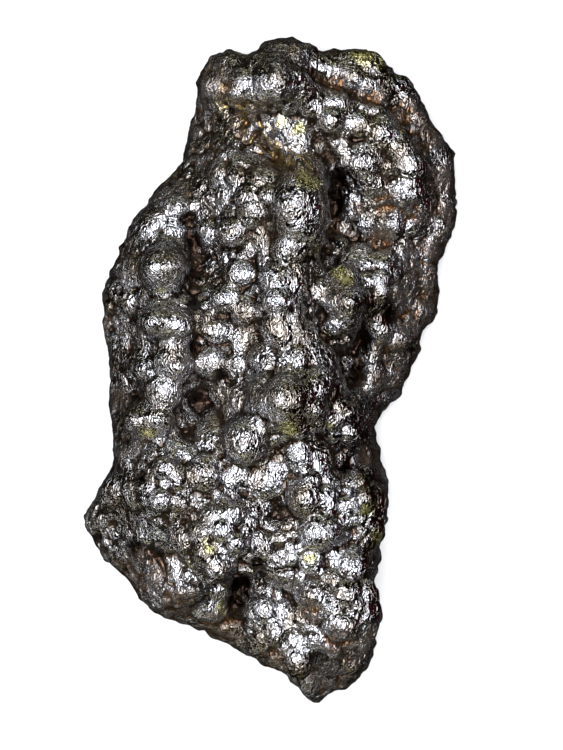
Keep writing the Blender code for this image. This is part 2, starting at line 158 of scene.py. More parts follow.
# %% [markdown]
# ## Soft walls, a softer face and raised shoulders
#
# The walls are smoothed a little, so that they keep their breaks, and the face more, because
# the domes go over it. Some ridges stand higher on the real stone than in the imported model:
# there a soft hump lifts the skin.

# %% Smooth the skin and lift the shoulders
CUT_TOP = 0.25 * MM
DIRECTION_ROUNDS = 90
WALL_ROUNDS = 14
FACE_ROUNDS = 34
LIFTED_ROUNDS = 12

links = neighbours(stone.data)
start = points_of(stone.data)
is_base = start[:, 2] < CUT_TOP
slow_normals = broad_directions(stone.data, links, DIRECTION_ROUNDS)
lying = ramp(slow_normals[:, 2], 0.35, 0.75)[:, None]
little = smoothed(start, links, WALL_ROUNDS)
soft = little * (1 - lying) + smoothed(little, links, FACE_ROUNDS) * lying
soft[is_base] = start[is_base]

# middle, from the stone's own middle, with radius and lift, mm
SHOULDERS = [
    (17.5, -10.0, 6.0, 3.6), (19.5, -22.0, 5.5, 2.4), (18.5, -32.0, 5.0, 0.8),
    (25.0, 20.0, 5.0, 1.2),
    (-25.2, 21.0, 3.8, 2.6), (-17.4, 21.0, 3.2, 1.6), (-25.0, 10.0, 3.6, 2.4),
    (-17.0, 8.0, 3.0, 1.2),
    (-25.0, 1.0, 3.6, 2.4), (-16.6, 0.0, 3.0, 1.6), (-28.6, -9.0, 3.2, 2.2),
    (-19.6, -9.0, 3.2, 2.0),
    (-26.0, -26.0, 4.0, 1.2), (12.0, 30.0, 2.6, 1.4), (2.0, 31.0, 2.8, 1.2),
    (17.2, 14.0, 3.0, 1.6),
]
for x, y, radius, lift in SHOULDERS:
    middle = np.array((x, y)) * MM
    away = np.hypot(*(start[:, :2] - middle).T) / (radius * MM)
    soft[:, 2] += np.exp(-(away**2)) * lift * MM * ramp(start[:, 2], 5 * MM, 12 * MM)
put_points(stone.data, soft)
slow_normals = broad_directions(stone.data, links, LIFTED_ROUNDS)
print("smoothing moved points up to", round(np.abs(soft - start).max() / MM, 2), "mm")

# %% [markdown]
# ## The domes
#
# On the real stone the domes are the rounded ends of needle bundles that grew side by side, so
# they meet in sharp valleys like soap bubbles. Each dome is written down as its middle, half
# width, half length and turn, in mm, seen from above, and a cap is raised over it. Where two
# caps overlap the higher one wins, and that gives the sharp valley. Small domes that nobody
# would list fill the gaps from a seeded scatter.

# %% Domes read from the face, by part of the stone
CROWN_DOMES = [
    (-8.4, 60.0, 3.0, 3.0, 0), (-11.6, 56.2, 2.5, 2.5, 0), (-6.2, 56.2, 2.4, 3.2, 0),
    (-2.4, 53.6, 2.2, 1.9, 0), (-1.4, 57.0, 2.1, 3.8, 0), (1.6, 57.2, 2.1, 4.2, 0),
    (4.2, 57.0, 1.9, 3.8, 0), (6.4, 57.0, 1.8, 2.6, 0),
    (8.0, 53.2, 2.6, 3.2, 0), (13.0, 53.8, 2.6, 2.2, 0), (7.2, 50.4, 1.4, 1.4, 0),
    (3.2, 63.2, 4.4, 2.2, 0), (-2.0, 61.4, 2.6, 1.9, 0), (6.0, 62.2, 2.4, 1.8, 0),
    (10.4, 60.8, 2.4, 2.0, 0), (13.2, 59.4, 2.2, 2.0, 0), (16.2, 58.2, 2.2, 2.2, 0),
    (19.2, 56.8, 2.0, 1.8, 0), (22.2, 55.0, 2.0, 1.7, 0), (12.4, 63.0, 2.4, 1.4, 0),
    (16.0, 62.2, 2.6, 2.0, 0), (20.2, 61.6, 3.0, 2.4, 0), (21.8, 58.6, 1.6, 1.8, 0),
    (25.2, 57.4, 2.8, 2.0, 20), (28.0, 54.4, 2.0, 2.4, 20),
]

BASIN_DOMES = [
    (1.6, 45.6, 1.8, 1.8, 0), (6.6, 45.2, 1.8, 2.8, 0), (2.6, 48.4, 2.0, 1.5, 0),
    (5.9, 47.9, 1.5, 1.5, 0), (12.0, 49.0, 2.6, 2.6, 0), (17.4, 48.6, 2.2, 2.2, 0),
    (15.0, 51.4, 2.4, 1.4, 0), (20.0, 52.0, 2.6, 1.4, 0), (22.2, 47.2, 2.8, 3.6, -25),
    (26.2, 44.4, 3.4, 3.2, 0), (27.8, 40.0, 3.4, 2.8, 0), (18.4, 41.0, 3.4, 3.4, 0),
    (13.2, 41.4, 2.2, 4.0, -20), (9.0, 42.0, 2.0, 3.0, -20), (20.2, 36.6, 2.8, 2.4, 0),
    (15.6, 32.4, 2.2, 2.4, 0), (26.8, 35.4, 4.0, 2.8, 0), (23.6, 29.0, 2.8, 3.0, 0),
    (28.6, 28.6, 1.8, 2.0, 0), (19.0, 29.0, 1.8, 2.0, 0), (13.2, 25.4, 2.2, 2.0, 0),
    (17.2, 22.6, 3.2, 3.0, 0), (22.8, 22.4, 2.4, 2.2, 0), (27.0, 24.2, 1.8, 2.0, 0),
    (26.4, 21.0, 1.6, 1.6, 0), (21.8, 7.8, 2.6, 2.8, 0), (20.0, 3.4, 2.4, 2.6, 0),
    (26.4, 6.0, 2.6, 2.4, 0), (27.0, 2.0, 1.8, 2.0, 0), (24.8, -1.8, 2.4, 2.0, 0),
    (20.2, -1.6, 3.4, 3.0, 0), (22.8, -5.6, 2.0, 1.6, 0), (19.6, -9.0, 1.6, 3.0, 0),
    (26.0, 9.0, 2.0, 1.3, 0), (25.2, 13.0, 1.1, 4.0, 0), (27.8, 16.2, 1.6, 3.6, 0),
]

CENTRE_DOMES = [
    (5.8, 31.6, 4.6, 7.4, 0), (9.6, 32.0, 1.6, 3.4, 0), (5.2, 28.6, 3.6, 3.4, 0),
    (1.8, 30.6, 1.5, 2.4, 0), (6.4, 38.2, 2.2, 1.6, 0), (8.8, 35.9, 1.5, 1.5, 0),
    (3.8, 23.6, 3.4, 2.6, 0), (-1.6, 38.6, 2.8, 2.4, 0), (-0.6, 34.8, 1.8, 2.1, 0),
    (-3.6, 36.6, 1.5, 1.5, 0), (-5.2, 34.2, 2.2, 2.2, 0), (-4.0, 30.6, 2.4, 2.8, 0),
    (-7.8, 27.2, 3.0, 2.6, 0), (-1.8, 25.8, 1.6, 3.0, 0), (-12.8, 27.2, 2.0, 2.8, 0),
    (-9.6, 34.4, 1.5, 2.4, 0), (-12.4, 33.8, 1.7, 1.7, 0), (-7.0, 38.4, 1.8, 2.3, 0),
    (-11.0, 39.2, 2.2, 2.5, 0), (-14.0, 37.0, 1.8, 2.4, 0), (-6.4, 19.2, 2.8, 2.4, 0),
    (1.0, 18.4, 3.4, 2.6, 0), (5.6, 17.6, 2.2, 3.0, 0), (-8.8, 14.4, 2.8, 2.6, 0),
    (-5.6, 11.8, 2.2, 2.8, 0), (1.4, 13.8, 3.0, 2.6, 0), (4.4, 12.4, 1.6, 1.6, 0),
    (1.2, 8.0, 3.0, 3.2, 0), (5.4, 8.8, 2.2, 2.8, 0), (8.0, 7.2, 2.0, 2.8, 0),
    (-10.2, 7.8, 2.6, 2.1, 0), (-6.0, 6.0, 1.7, 2.4, 0), (-1.8, 2.8, 2.7, 2.5, 0),
    (2.6, 2.8, 1.5, 2.0, 0), (-11.4, 1.4, 2.7, 2.9, 0), (-6.6, 1.6, 1.6, 2.0, 0),
    (5.8, 3.0, 1.8, 2.0, 0), (10.2, 3.2, 3.0, 3.2, 0), (14.2, 19.4, 3.3, 2.5, 35),
    (10.4, 15.6, 1.7, 2.6, 0), (3.0, -5.2, 4.4, 4.6, 0), (-1.4, -5.8, 1.9, 3.0, 0),
    (7.4, -4.0, 1.6, 2.6, 0), (3.2, -9.6, 3.2, 1.9, 0), (10.2, -1.6, 2.6, 3.2, 0),
    (8.8, -7.4, 2.4, 1.9, 0), (-5.0, -13.6, 4.1, 4.5, 0), (-12.4, -11.4, 2.3, 4.4, 0),
    (-12.8, -19.8, 3.1, 3.5, 0), (-7.4, -21.0, 1.8, 2.4, 0), (-4.8, -21.4, 1.5, 2.4, 0),
    (-6.8, -5.4, 1.7, 2.4, 0), (-10.6, -4.8, 1.7, 1.7, 0), (-3.0, -3.4, 1.5, 1.5, 0),
    (5.8, -12.0, 2.0, 1.8, 0), (9.6, -11.0, 1.8, 1.5, 0), (-1.0, -22.2, 3.2, 2.8, 0),
    (1.6, -19.6, 2.0, 1.8, 0), (-1.6, -26.8, 2.2, 1.8, 0), (5.8, -17.0, 2.6, 3.0, 0),
    (10.4, -17.0, 2.4, 3.0, 0), (7.8, -20.8, 2.0, 1.8, 0), (6.2, -25.0, 3.4, 3.6, 0),
    (11.8, -25.0, 1.7, 3.0, 0), (15.4, -7.4, 2.4, 2.6, 0), (12.8, -9.8, 1.7, 2.2, 0),
    (17.4, -8.2, 1.5, 2.4, 0), (13.0, -12.8, 1.5, 1.5, 0), (16.4, -12.8, 2.3, 2.1, 0),
    (15.4, -3.2, 1.3, 2.4, 0), (16.8, -20.8, 2.4, 1.9, 0),
]

RIDGE_DOMES = [
    (-20.6, 19.8, 4.0, 4.8, 0), (-19.6, 25.0, 2.4, 1.5, 0), (-23.6, 29.4, 2.1, 3.4, -45),
    (-19.4, 28.6, 1.7, 1.7, 0), (-19.0, 32.8, 2.8, 2.4, 0), (-28.4, 19.8, 2.4, 3.0, 0),
    (-21.2, 9.6, 3.2, 3.0, 0), (-16.8, 9.8, 2.5, 2.7, 0), (-15.8, 13.8, 2.1, 1.9, 0),
    (-18.8, 2.2, 3.7, 4.3, 0), (-21.0, -4.4, 3.6, 3.0, 0), (-24.2, -9.4, 5.0, 3.9, 0),
    (-26.0, 0.6, 1.7, 2.8, 0), (-28.6, 13.6, 1.9, 2.5, 0), (-25.2, 14.4, 1.4, 2.0, 0),
    (-29.2, 7.0, 1.3, 5.2, 0), (-29.2, -4.4, 1.2, 3.8, 0), (-25.0, 6.6, 2.4, 3.4, 0),
    (-25.8, -14.4, 2.5, 1.4, 0), (-29.0, -16.2, 1.7, 1.7, 0), (-16.2, -15.2, 2.6, 1.7, -60),
]

FOOT_DOMES = [
    (-20.4, -18.6, 2.5, 2.1, 0), (-17.6, -20.6, 1.9, 2.4, 0), (-21.4, -25.4, 2.1, 2.1, 0),
    (-17.4, -25.8, 1.9, 1.9, 0), (-28.0, -23.2, 1.9, 4.0, 0), (-32.2, -24.4, 2.4, 3.5, -20),
    (-14.0, -25.0, 1.8, 1.6, 0), (-25.4, -32.2, 1.9, 3.2, 0), (-22.6, -31.4, 1.8, 2.5, 0),
    (-18.2, -33.0, 2.5, 2.8, 0), (-11.4, -27.8, 2.3, 1.9, 0), (-6.8, -27.2, 2.5, 2.1, 0),
    (-13.8, -31.4, 2.2, 2.2, 0), (-9.2, -30.8, 2.1, 2.1, 0), (-5.9, -34.2, 2.1, 2.4, 0),
    (-13.0, -36.0, 2.4, 2.4, 0), (-10.4, -39.0, 2.3, 2.3, 0), (-7.2, -38.0, 1.7, 1.7, 0),
    (-23.8, -40.6, 2.1, 2.6, 0), (-16.8, -43.8, 1.9, 1.6, 0), (-9.6, -43.8, 2.3, 2.8, 0),
    (-11.2, -48.2, 4.0, 2.5, 0), (15.2, -26.6, 1.9, 2.1, 0), (18.4, -25.0, 2.1, 2.6, 0),
    (10.0, -31.4, 4.0, 3.6, 0), (-1.4, -34.0, 1.6, 2.8, 0), (8.4, -37.6, 2.2, 2.2, 0),
    (16.4, -37.2, 3.0, 2.8, 0), (12.8, -36.8, 1.6, 1.6, 0), (11.8, -40.2, 2.0, 1.8, 0),
    (15.0, -43.0, 2.6, 2.4, 0), (8.0, -43.6, 2.4, 2.8, 0), (12.2, -45.4, 2.0, 2.0, 0),
    (16.8, -46.0, 1.8, 2.0, 0), (14.0, -50.4, 3.4, 3.0, 0), (-1.4, -46.6, 2.0, 2.6, 0),
    (1.0, -51.2, 1.8, 2.7, 0), (3.2, -46.8, 1.7, 2.6, 20), (5.8, -47.8, 1.6, 2.0, 0),
    (8.8, -54.0, 2.8, 2.2, 0), (12.0, -55.6, 1.8, 1.8, 0), (12.0, -59.4, 1.8, 2.2, 0),
    (6.0, -58.0, 2.4, 3.2, 25), (7.6, -63.2, 2.2, 2.6, 0), (-4.6, -48.4, 1.5, 2.0, 0),
    (-3.0, -54.0, 3.2, 1.5, 60), (-8.0, -52.8, 2.8, 1.5, 0),
]

RIM_DOMES = [
    (29.8, 50.2, 2.2, 2.5, 25), (32.6, 46.2, 2.3, 2.5, 25), (34.8, 42.4, 1.9, 2.4, 0),
    (35.0, 38.0, 2.0, 3.0, 0), (35.6, 32.8, 1.8, 2.8, 0), (34.0, 28.2, 2.4, 2.8, -20),
    (31.8, 24.0, 2.3, 2.3, 0), (32.0, 18.0, 2.0, 3.2, 0), (31.0, 12.6, 2.4, 2.2, 0),
    (28.4, 9.8, 1.6, 1.6, 0), (31.6, 33.6, 1.4, 4.4, 0), (19.4, -16.8, 1.6, 3.6, 0),
    (22.6, -25.4, 1.6, 2.9, 0), (19.8, -42.8, 1.5, 2.5, 0), (19.2, -48.4, 1.5, 2.9, 0),
    (18.8, -54.0, 1.5, 2.9, 0), (16.8, -58.2, 2.0, 2.4, 0),
]

KNOBS = [
    (3.8, 43.8, 1.6, 1.8, 0), (19.2, 32.4, 1.0, 2.7, -70), (24.2, 33.2, 1.0, 2.9, 80),
    (29.4, 31.4, 1.1, 2.8, -45), (-7.0, 41.4, 0.9, 3.4, 25), (-1.4, 41.4, 0.9, 3.6, 62),
    (19.0, 18.0, 1.7, 1.7, 0), (21.8, 18.4, 1.8, 1.8, 0), (19.4, 14.4, 1.7, 1.7, 0),
    (22.2, 15.0, 1.8, 1.8, 0), (14.6, 14.0, 3.9, 6.6, 28), (13.0, 8.4, 2.2, 2.2, 0),
]
NAMED_DOMES = (
    CROWN_DOMES + BASIN_DOMES + CENTRE_DOMES + RIDGE_DOMES + FOOT_DOMES + RIM_DOMES + KNOBS
)
DRAWING_MIDDLE = (-0.14, -0.32)


def drawn(x, y):
    """A place of the drawing, in metres on the stone."""
    return (x - DRAWING_MIDDLE[0]) * MM, (y - DRAWING_MIDDLE[1]) * MM


print("named domes:", len(NAMED_DOMES))

# %% Raise the caps
CAP_HEIGHT = 0.92
VALLEY_AT = 0.88
WIDEN = 1.30
BROADNESS = 1.8
VALLEY_LEVEL = math.sqrt(1 - VALLEY_AT ** (2 * BROADNESS))
GAP_DOME = (0.8, 1.9)
SPARE = -0.35 * MM
GAP_DOMES = 1300
GAP_TRIES = 9000
GAP_SPACING = 0.72
GAP_LEVEL = 0.72
RIM_SHARE = 0.75
BROAD_FROM = 3.1
BROAD_SHARE = 0.50
ABOVE_THE_STONE = 0.1

tree_shape = bmesh.new()
tree_shape.from_mesh(stone.data)
ground_tree = BVHTree.FromBMesh(tree_shape)
tree_shape.free()


def seat(x, y):
    """The skin's point under x, y in metres and its outward direction; None beside the stone."""
    ground, normal, _, _ = ground_tree.ray_cast(Vector((x, y, ABOVE_THE_STONE)), Vector((0, 0, -1)))
    return None if ground is None or ground.z < 1 * MM else (ground, normal)


def cap_over(points, middle, out, across, along, turn, rise):
    """Height of one cap at every point near it: the top of a flattened ball, round or long.

    Its edge, where the cap is at valley level, is at the given half width."""
    near = np.flatnonzero(np.abs(points - middle).max(axis=1) < max(across, along) / VALLEY_AT)
    side = Vector((math.cos(turn), math.sin(turn), 0))
    side = (side - out * side.dot(out)).normalized()
    length = out.cross(side)
    offset = points[near] - np.array(middle)
    u = offset @ np.array(side) / across
    v = offset @ np.array(length) / along
    w = offset @ np.array(out) / max(across, along)
    reach = (u * u + v * v + 0.35 * w * w) * VALLEY_AT**2
    ball = np.sqrt(np.maximum(1 - reach**BROADNESS, 0)) - np.maximum(reach - 1, 0)
    return near, rise * (ball - VALLEY_LEVEL)


def raise_caps(points, domes, spare):
    """The highest cap at every point, never below the spare level, and which dome it belongs to."""
    height = np.full(len(points), spare)
    owner = np.full(len(points), -1)
    for index, (middle, out, across, along, turn, rise) in enumerate(domes):
        near, cap = cap_over(points, middle, out, across, along, turn, rise)
        better = cap > height[near]
        height[near[better]] = cap[better]
        owner[near[better]] = index
    return height, owner


luck = np.random.default_rng(7)
domes = []
for x, y, across, along, turn in NAMED_DOMES:
    place = seat(*drawn(x, y))
    if place is None:
        print("no stone under the dome at", x, y)
        continue
    half_width = across * WIDEN * MM
    half_length = along * WIDEN * MM
    rise = CAP_HEIGHT * min(half_width, half_length) * luck.uniform(0.85, 1.15)
    if (x, y, across, along, turn) in RIM_DOMES:
        rise *= RIM_SHARE
    if min(across, along) > BROAD_FROM:
        rise *= BROAD_SHARE
    out = (place[1] + Vector((0, 0, 0.5))).normalized()
    domes.append((place[0], out, half_width, half_length, math.radians(turn), rise))
caps, _ = raise_caps(soft, domes, SPARE)
named = len(domes)

# small domes in the gaps, on the face and the upper walls
gaps = np.flatnonzero((caps < 0.02 * MM) & (soft[:, 2] > 5 * MM) & (slow_normals[:, 2] > 0.15))
places = np.full((GAP_DOMES, 3), 1.0)
sizes = np.zeros(GAP_DOMES)
count = 0
for index in luck.permutation(gaps)[:GAP_TRIES]:
    radius = luck.uniform(*GAP_DOME) * MM
    here = soft[index]
    away = np.linalg.norm(places[:count] - here, axis=1)
    if (away < GAP_SPACING * (radius + sizes[:count])).any():
        continue
    places[count] = here
    sizes[count] = radius
    count += 1
    out = Vector(slow_normals[index])
    domes.append((Vector(here), out, radius, radius * luck.uniform(1.0, 1.5),
                  luck.uniform(0, math.pi), radius * CAP_HEIGHT))
    if count == GAP_DOMES:
        break
caps, owner = raise_caps(soft, domes, SPARE)
rises = np.array([dome[5] for dome in domes])
level = np.where(owner < 0, 0, caps / (rises[owner] * (1 - VALLEY_LEVEL)))
level[owner >= named] *= GAP_LEVEL
print("caps:", named, "named and", len(domes) - named, "in the gaps")

# %% [markdown]
# ## Trough, cracks and broken lips
#
# A few features run across the domes: the brown trough below the crown, the crack where a
# fibrous edge of an older crust stands up, and short broken lips. Each is a line through a few
# points, with a half width and a depth, in mm. A line is cheaper than a cutter here, and its
# soft cross-section suits weathered stone.

# %% Lines across the face
# name, points, half width and depth below the skin (above it where positive), mm
LINES = [
    ("trough", [(4.5, 60.6), (10.0, 57.6), (15.0, 55.4), (19.5, 54.2), (24.0, 52.4),
                (27.6, 48.6), (29.0, 43.4)], 1.2, -0.9),
    ("lip", [(5.5, 58.2), (9.6, 55.8), (14.6, 53.6), (19.0, 52.6), (23.2, 50.8), (26.2, 47.2)], 0.8, 0.5),
    ("crack", [(-9.4, 53.0), (-5.4, 49.6), (-2.4, 45.6), (1.4, 41.4), (4.8, 39.6)], 0.8, -0.9),
    ("fibres", [(-8.0, 53.6), (-4.0, 50.0), (-0.6, 46.2), (2.6, 42.8), (5.6, 40.8)], 1.3, 1.0),
    ("arc", [(16.6, 31.0), (18.6, 33.0), (22.4, 33.6), (26.4, 32.8), (29.6, 30.8)], 0.7, 0.5),
    ("step", [(-27.0, -35.0), (-21.0, -37.0), (-15.0, -38.4), (-10.6, -42.4)], 1.1, -0.9),
    ("groove", [(2.6, -43.4), (5.4, -47.0), (8.4, -50.4), (12.0, -53.4), (15.6, -54.0)], 1.0, -0.9),
    ("gash", [(-5.6, -36.0), (-5.4, -41.0), (-6.8, -46.0), (-7.6, -51.0)], 2.2, -2.3),
    ("pocket", [(12.6, 41.5), (13.2, 36.0), (12.8, 30.0), (11.8, 24.5)], 1.6, -1.5),
    ("left valley", [(-15.6, 30.0), (-14.8, 21.0), (-15.0, 11.0), (-14.4, 4.0)], 1.1, -0.7),
    ("waist valley", [(18.2, 11.0), (18.6, 4.5), (17.4, -2.0), (14.6, -8.0)], 1.5, -1.4),
    ("rim", [(31.0, 46.0), (33.2, 41.0), (33.6, 35.0), (32.6, 29.0), (30.4, 24.0), (30.0, 17.0),
             (28.6, 11.0)], 0.9, -0.35),
]
LINE_WANDER = 0.9


def distance_to_line(points, line):
    """Distance of every point, seen from above, to the nearest stretch of the line."""
    nearest = np.full(len(points), 1.0)
    places = np.array([drawn(x, y) for x, y in line])
    for first, last in zip(places[:-1], places[1:]):
        along = last - first
        share = np.clip((points[:, :2] - first) @ along / (along @ along), 0, 1)
        gap = points[:, :2] - (first + share[:, None] * along)
        nearest = np.minimum(nearest, np.hypot(gap[:, 0], gap[:, 1]))
    return nearest


def noise_field(points, size, seed, squeeze=(1, 1, 1)):
    """Smooth noise of about -1 to 1 at every point, with features of that size."""
    scaled = points / size * np.array(squeeze) + seed
    return np.array([noise.noise(Vector(p)) for p in scaled])


broken = noise_field(soft, 3 * MM, 12.7)
sideways = [noise_field(soft, 2.6 * MM, seed) for seed in (31.5, 47.2)]
wandering = soft + np.column_stack([*sideways, broken]) * LINE_WANDER * MM
line_move = np.zeros(len(soft))
for name, line, half_width, depth in LINES:
    share = np.exp(-((distance_to_line(wandering, line) / (half_width * MM)) ** 2))
    share *= 0.75 + 0.6 * broken
    line_move += share * depth * MM
reach = [round(float(end) / MM, 2) for end in (line_move.min(), line_move.max())]
print("lines:", len(LINES), "moving the skin by", reach, "mm")

# %% [markdown]
# ## Where brown oxide lies thick
#
# On the rim, in the trough and along the foot the metallic skin has weathered to brown oxide,
# which is rough and flaky. The places are listed, because weathering follows the stone's
# history and no rule of shape would find them. The relief and the colours both use them.

# %% Places where brown oxide lies thick
# middle and radius of each place, mm, with how brown it is
BROWN_PLACES = [
    (-11, 57, 5, 0.8), (-14, 49, 4, 0.6), (3, 63, 6, 0.4), (13, 56.4, 3, 1.0), (20, 54.4, 3, 1.0),
    (27, 50.6, 4, 1.0), (31, 46, 4, 1.0), (35, 38, 4, 0.9), (35, 30, 4, 0.9), (30, 22, 5, 0.9),
    (32, 15, 4, 1.0), (28, 10, 4, 1.0), (26, 16, 3, 0.9), (23, 33, 3, 1.0), (28, 31, 3, 1.0),
    (22, 26, 3, 0.9), (17, 32, 2, 1.0), (12, 29, 3, 0.5), (-5, 49, 4, 0.7), (1, 44, 4, 0.6),
    (24, 4, 4, 0.7), (21, -3, 4, 0.6), (26, -1, 3, 0.9), (-26, -40, 6, 0.8), (-18, -46, 5, 0.8),
    (-10, -51, 5, 0.7), (8, -47, 2.5, 1.0), (13, -53, 4, 1.0), (16, -56, 4, 0.9), (12, -61, 5, 0.9),
    (-12, 43, 5, 0.6), (-20, 36, 5, 0.5), (-17, 52, 5, 0.8), (34, 24, 4, 0.9), (20, -52, 3, 0.8),
    (0, -57, 4, 0.7), (19, -17, 2.5, 0.9), (-29, 22, 5, 0.4), (-32, 10, 3, 0.6),
    (-31, -6, 3, 0.6), (-27, -15, 4, 0.5), (-14, 2, 3, 0.3), (16, -33, 3, 0.4), (4, -22, 3, 0.4),
]


def in_places(points, places, full, gone):
    """How far each point lies in listed round places, 0 to 1.

    A place is x, y, radius and, where given, strength. It counts in full up to one share of
    its radius and not at all beyond another."""
    share = np.zeros(len(points))
    for x, y, radius, *strength in places:
        away = np.hypot(*(points[:, :2] - drawn(x, y)).T) / (radius * MM)
        here = 1 - ramp(away, full, gone)
        share = np.maximum(share, strength[0] * here if strength else here)
    return share


def brown_share(points):
    """How brown the skin is at every point, 0 to 1."""
    return in_places(points, BROWN_PLACES, 0.45, 1.25)


oxide = brown_share(soft)
print("brown oxide on", round(100 * float((oxide > 0.5).mean())), "% of the skin")

# %% [markdown]
# ## Wrinkles, ledges and the flat cut
#
# The caps are pushed out along the skin. Over them goes a finer relief: short wrinkles and a
# soft swell on the domes, shreds where the oxide flakes, and on the broken walls ledges,
# scoops and upright ribs, where the needle bundles show from the side. The cut that the stone
# rests on stays flat.

# %% Relief
SINK = 0.5 * MM
# how far each kind of relief moves the skin, mm
WRINKLE, SWELL, SHREDS = 0.05, 0.17, 0.42
LEDGES, RIBS, LUMPS, SCOOPS = 0.4, 0.22, 0.3, 1.2
SCOOP_SIZE = 3.6 * MM
SCOOP_MIDDLE = 0.56

wall = ramp(-slow_normals[:, 2], -0.55, -0.15)
above_cut = ramp(soft[:, 2], 0.3 * MM, 3.5 * MM)
face = 1 - wall
wrinkle = noise_field(soft, 1.5 * MM, 3.1) + 0.6 * noise_field(soft, 0.9 * MM, 9.4)
walls = np.flatnonzero(wall > 0)


def on_walls(values):
    """Values worked out for the wall points only, with 0 on the rest of the skin."""
    spread = np.zeros(len(soft))
    spread[walls] = values
    return spread


ledges = noise_field(soft[walls], 5 * MM, 1.7, (1, 1, 3.2))
ledges += 0.5 * noise_field(soft[walls], 1.9 * MM, 4.4, (1, 1, 2.2))
ribs = noise_field(soft[walls], 1.3 * MM, 6.6, (1, 1, 0.22))
lumps = noise_field(soft[walls], 2.2 * MM, 27.7, (1, 1, 0.8))
scoops = np.array([noise.voronoi(Vector(p))[0][0] for p in soft[walls] / SCOOP_SIZE]) - SCOOP_MIDDLE
rough = on_walls(ledges * LEDGES + ribs * RIBS + lumps * LUMPS + scoops * SCOOPS)
swell = noise_field(soft, 2.8 * MM, 15.3)
shreds = noise_field(soft, 1.1 * MM, 21.9, (1, 0.3, 0.6))
shreds += 0.5 * noise_field(soft, 0.7 * MM, 2.2, (1, 0.4, 0.8))
move = (caps * (1 - 0.35 * oxide) - SINK) * (0.25 + 0.75 * face)
move += line_move
move += (wrinkle * WRINKLE + swell * SWELL + shreds * SHREDS * oxide) * MM * face
move += rough * MM * wall
relief = soft + slow_normals * (move * above_cut)[:, None]
relief[:, 2] = np.maximum(relief[:, 2], 0)
relief[is_base, 2] = 0
put_points(stone.data, relief)
print("relief, mm:", round(move.min() / MM, 2), "to", round(move.max() / MM, 2))

# %% [markdown]
# ## Fewer triangles where the skin is flat
#
# The even skin spends as many triangles on a flat wall as on a crisp dome. Thinning it joins
# the ones that lie flat first, so the piece gets lighter and keeps its edges.

# %% Thin the flat places
TRIANGLES = 190_000
stone.data.calc_loop_triangles()
dense = len(stone.data.loop_triangles)
thin = stone.modifiers.new("thin", "DECIMATE")
thin.ratio = min(1, TRIANGLES / dense)
thin.use_collapse_triangulate = True
with_modifiers_applied(stone)
stone.data.name = "stone"
print("thinned from", dense, "to", len(stone.data.polygons), "triangles")

# %% [markdown]
# ## What the skin knows about itself
#
# Valleys, hollows and pockets get dark painted shade, so that the dome tops stay bright; walls are matte.
# Each point of the skin is given a few numbers: how deep it lies in a wide hollow, how
# deep in a narrow crease, and how far it belongs to a wall. The material reads them.

# %% Masks
links = neighbours(stone.data)
points = points_of(stone.data)
normals = normals_of(stone.data)
NARROW_ROUNDS, WIDE_ROUNDS, SLOW_ROUNDS = 4, 60, 30


def depth_against(rounds):
    """How far each point lies below the skin around it."""
    return np.einsum("ij,ij->i", smoothed(points, links, rounds) - points, normals)


def write_mask(name, values):
    layer = stone.data.attributes.new(name, "FLOAT", "POINT")
    layer.data.foreach_set("value", values.astype(np.float32))
    print(name, "mean", round(float(values.mean()), 3))


def carried_over(values):
    """Values of the dense skin at the points of the thinned one, from the nearest point."""
    tree = KDTree(len(relief))
    for index, point in enumerate(relief):
        tree.insert(point, index)
    tree.balance()
    return np.array([values[tree.find(point)[1]] for point in points])


narrow = depth_against(NARROW_ROUNDS)
wide = depth_against(WIDE_ROUNDS)
slow = broad_directions(stone.data, links, SLOW_ROUNDS)
crease = ramp(narrow, 0.01 * MM, 0.09 * MM)
hollow = ramp(wide, -0.05 * MM, 0.65 * MM)

# pockets that the light hardly reaches: middle and radius, mm
POCKETS = [
    (-6.2, -41.5, 3.2), (-7.2, -47.0, 2.4), (13.6, 39.0, 2.2), (13.0, 33.0, 2.0), (12.4, 27.0, 1.8),
    (18.4, 6.0, 2.2), (17.6, -0.5, 2.2), (-15.0, 13.0, 1.7), (-14.8, 5.0, 1.6), (-15.2, 26.0, 2.4),
    (-16.0, 30.2, 1.6), (-14.4, 18.8, 1.7), (-23.0, -36.6, 2.4), (-27.0, -35.0, 2.0),
    (-9.6, -0.6, 1.6), (-14.3, -5.2, 1.8), (24.0, 11.0, 2.0), (-2.6, -37.4, 1.8),
]
pocket = in_places(points, POCKETS, 0.4, 1.3)
side = ramp(-slow[:, 2], -0.5, -0.1)
low_down = 1 - ramp(points[:, 2], 4 * MM, 14 * MM)

brown = brown_share(points)
write_mask("brown", brown)

# the fibrous edge: fibres fan out along the crack, so the noise is stretched that way
FIBRE_LINE = [(-9.6, 54.6), (-5.0, 50.4), (-1.0, 46.4), (3.0, 42.6), (5.6, 40.8)]
along = np.array((0.68, -0.73))
run = points[:, :2] @ along
over = points[:, :2] @ np.array((along[1], -along[0]))
strands = noise_field(np.column_stack([run * 0.16, over, points[:, 2] * 0.5]), 0.55 * MM, 5.5)
band = np.exp(-((distance_to_line(points, FIBRE_LINE) / (2.9 * MM)) ** 2))
write_mask("fibre", band * ramp(strands, 0.0, 0.3))
